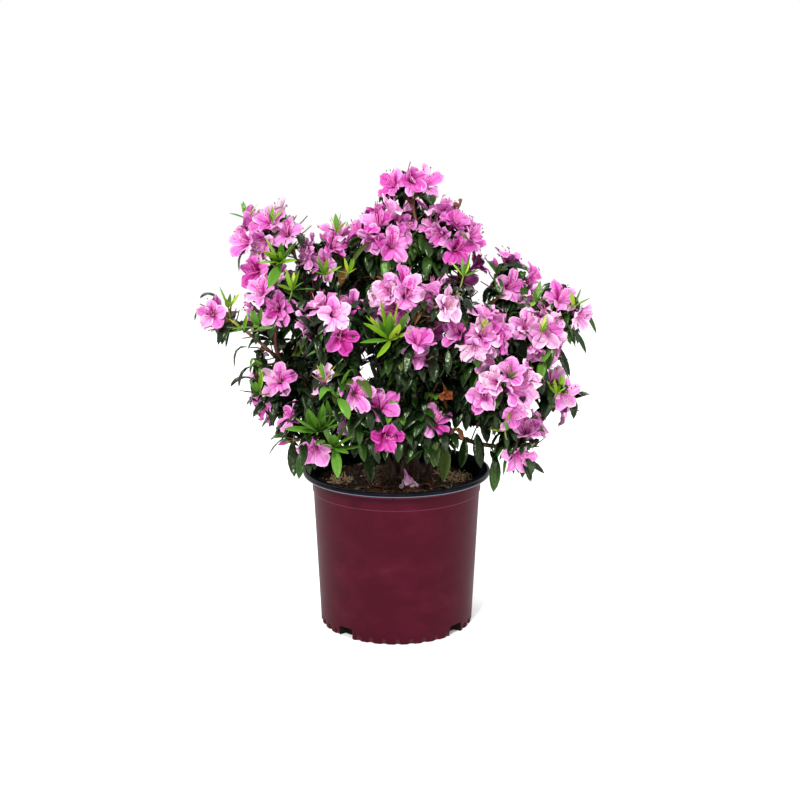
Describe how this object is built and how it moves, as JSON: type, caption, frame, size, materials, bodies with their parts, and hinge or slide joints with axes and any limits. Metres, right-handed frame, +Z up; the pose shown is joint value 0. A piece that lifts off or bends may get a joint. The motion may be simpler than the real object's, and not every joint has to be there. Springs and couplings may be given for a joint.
{
  "type": "azalea shrub",
  "caption": "Flowering azalea shrub in a round tapered nursery pot: short forked trunk, thin boughs, and leafy masses tipped with open flared blooms.",
  "frame": {"origin": "centre of the pot's flat underside, on the surface that it stands on", "axes": "+Z up along the pot's axis; -Y toward the front that the picture shows; +X to the right seen from the front"},
  "size_m": [0.5758, 0.4091, 0.6854],
  "materials": {
    "pot": "semi-gloss moulded plastic, wine red, faintly scuffed",
    "pot_lip": "smooth blue-black moulded plastic",
    "soil": "loose dark bark compost with tan fibres",
    "bark": "fine grey-brown bark, redder on young twigs",
    "leaf": "glossy dark green leaf, fresh ones yellow-green",
    "blossom": "soft lilac-pink petals, deeper in the throat"
  },
  "bodies": {
    "root": {"pot_wall": "pot", "pot_rim": "pot_lip", "soil": "soil", "trunk": "bark", "leader": "bark", "left_stem": "bark", "right_stem": "bark", "front_stem": "bark", "front_left_stem": "bark", "back_left_stem": "bark", "back_right_stem": "bark", "crown_bough": "bark", "back_top_bough": "bark", "upper_left_bough": "bark", "left_bough": "bark", "upper_right_bough": "bark", "right_bough": "bark", "mid_right_bough": "bark", "low_right_bough": "bark", "centre_bough": "bark", "low_front_bough": "bark", "centre_left_bough": "bark", "low_left_bough": "bark", "back_left_bough": "bark", "low_back_left_bough": "bark", "back_right_bough": "bark", "low_back_right_bough": "bark", "crown_top": "blossom", "top_left": "blossom", "top_right": "blossom", "upper_left": "blossom", "upper_mid": "blossom", "left_inner": "blossom", "far_left": "leaf", "left_low": "blossom", "centre_left": "leaf", "mid_low_left": "leaf", "low_left": "leaf", "centre": "leaf", "centre_low": "leaf", "low_front": "blossom", "low_centre": "leaf", "front_right": "leaf", "right_mid": "blossom", "right_up": "blossom", "right_far": "leaf", "right_mid_far": "blossom", "right_low": "blossom", "right_edge": "leaf", "right_bottom": "leaf", "back_top": "blossom", "back_top_left": "blossom", "back_top_right": "blossom", "back_left": "blossom", "back_mid_left": "blossom", "back_right": "blossom", "back_mid_right": "blossom", "low_back_left": "leaf", "low_back": "leaf", "low_back_right": "leaf"}
  },
  "joints": []
}
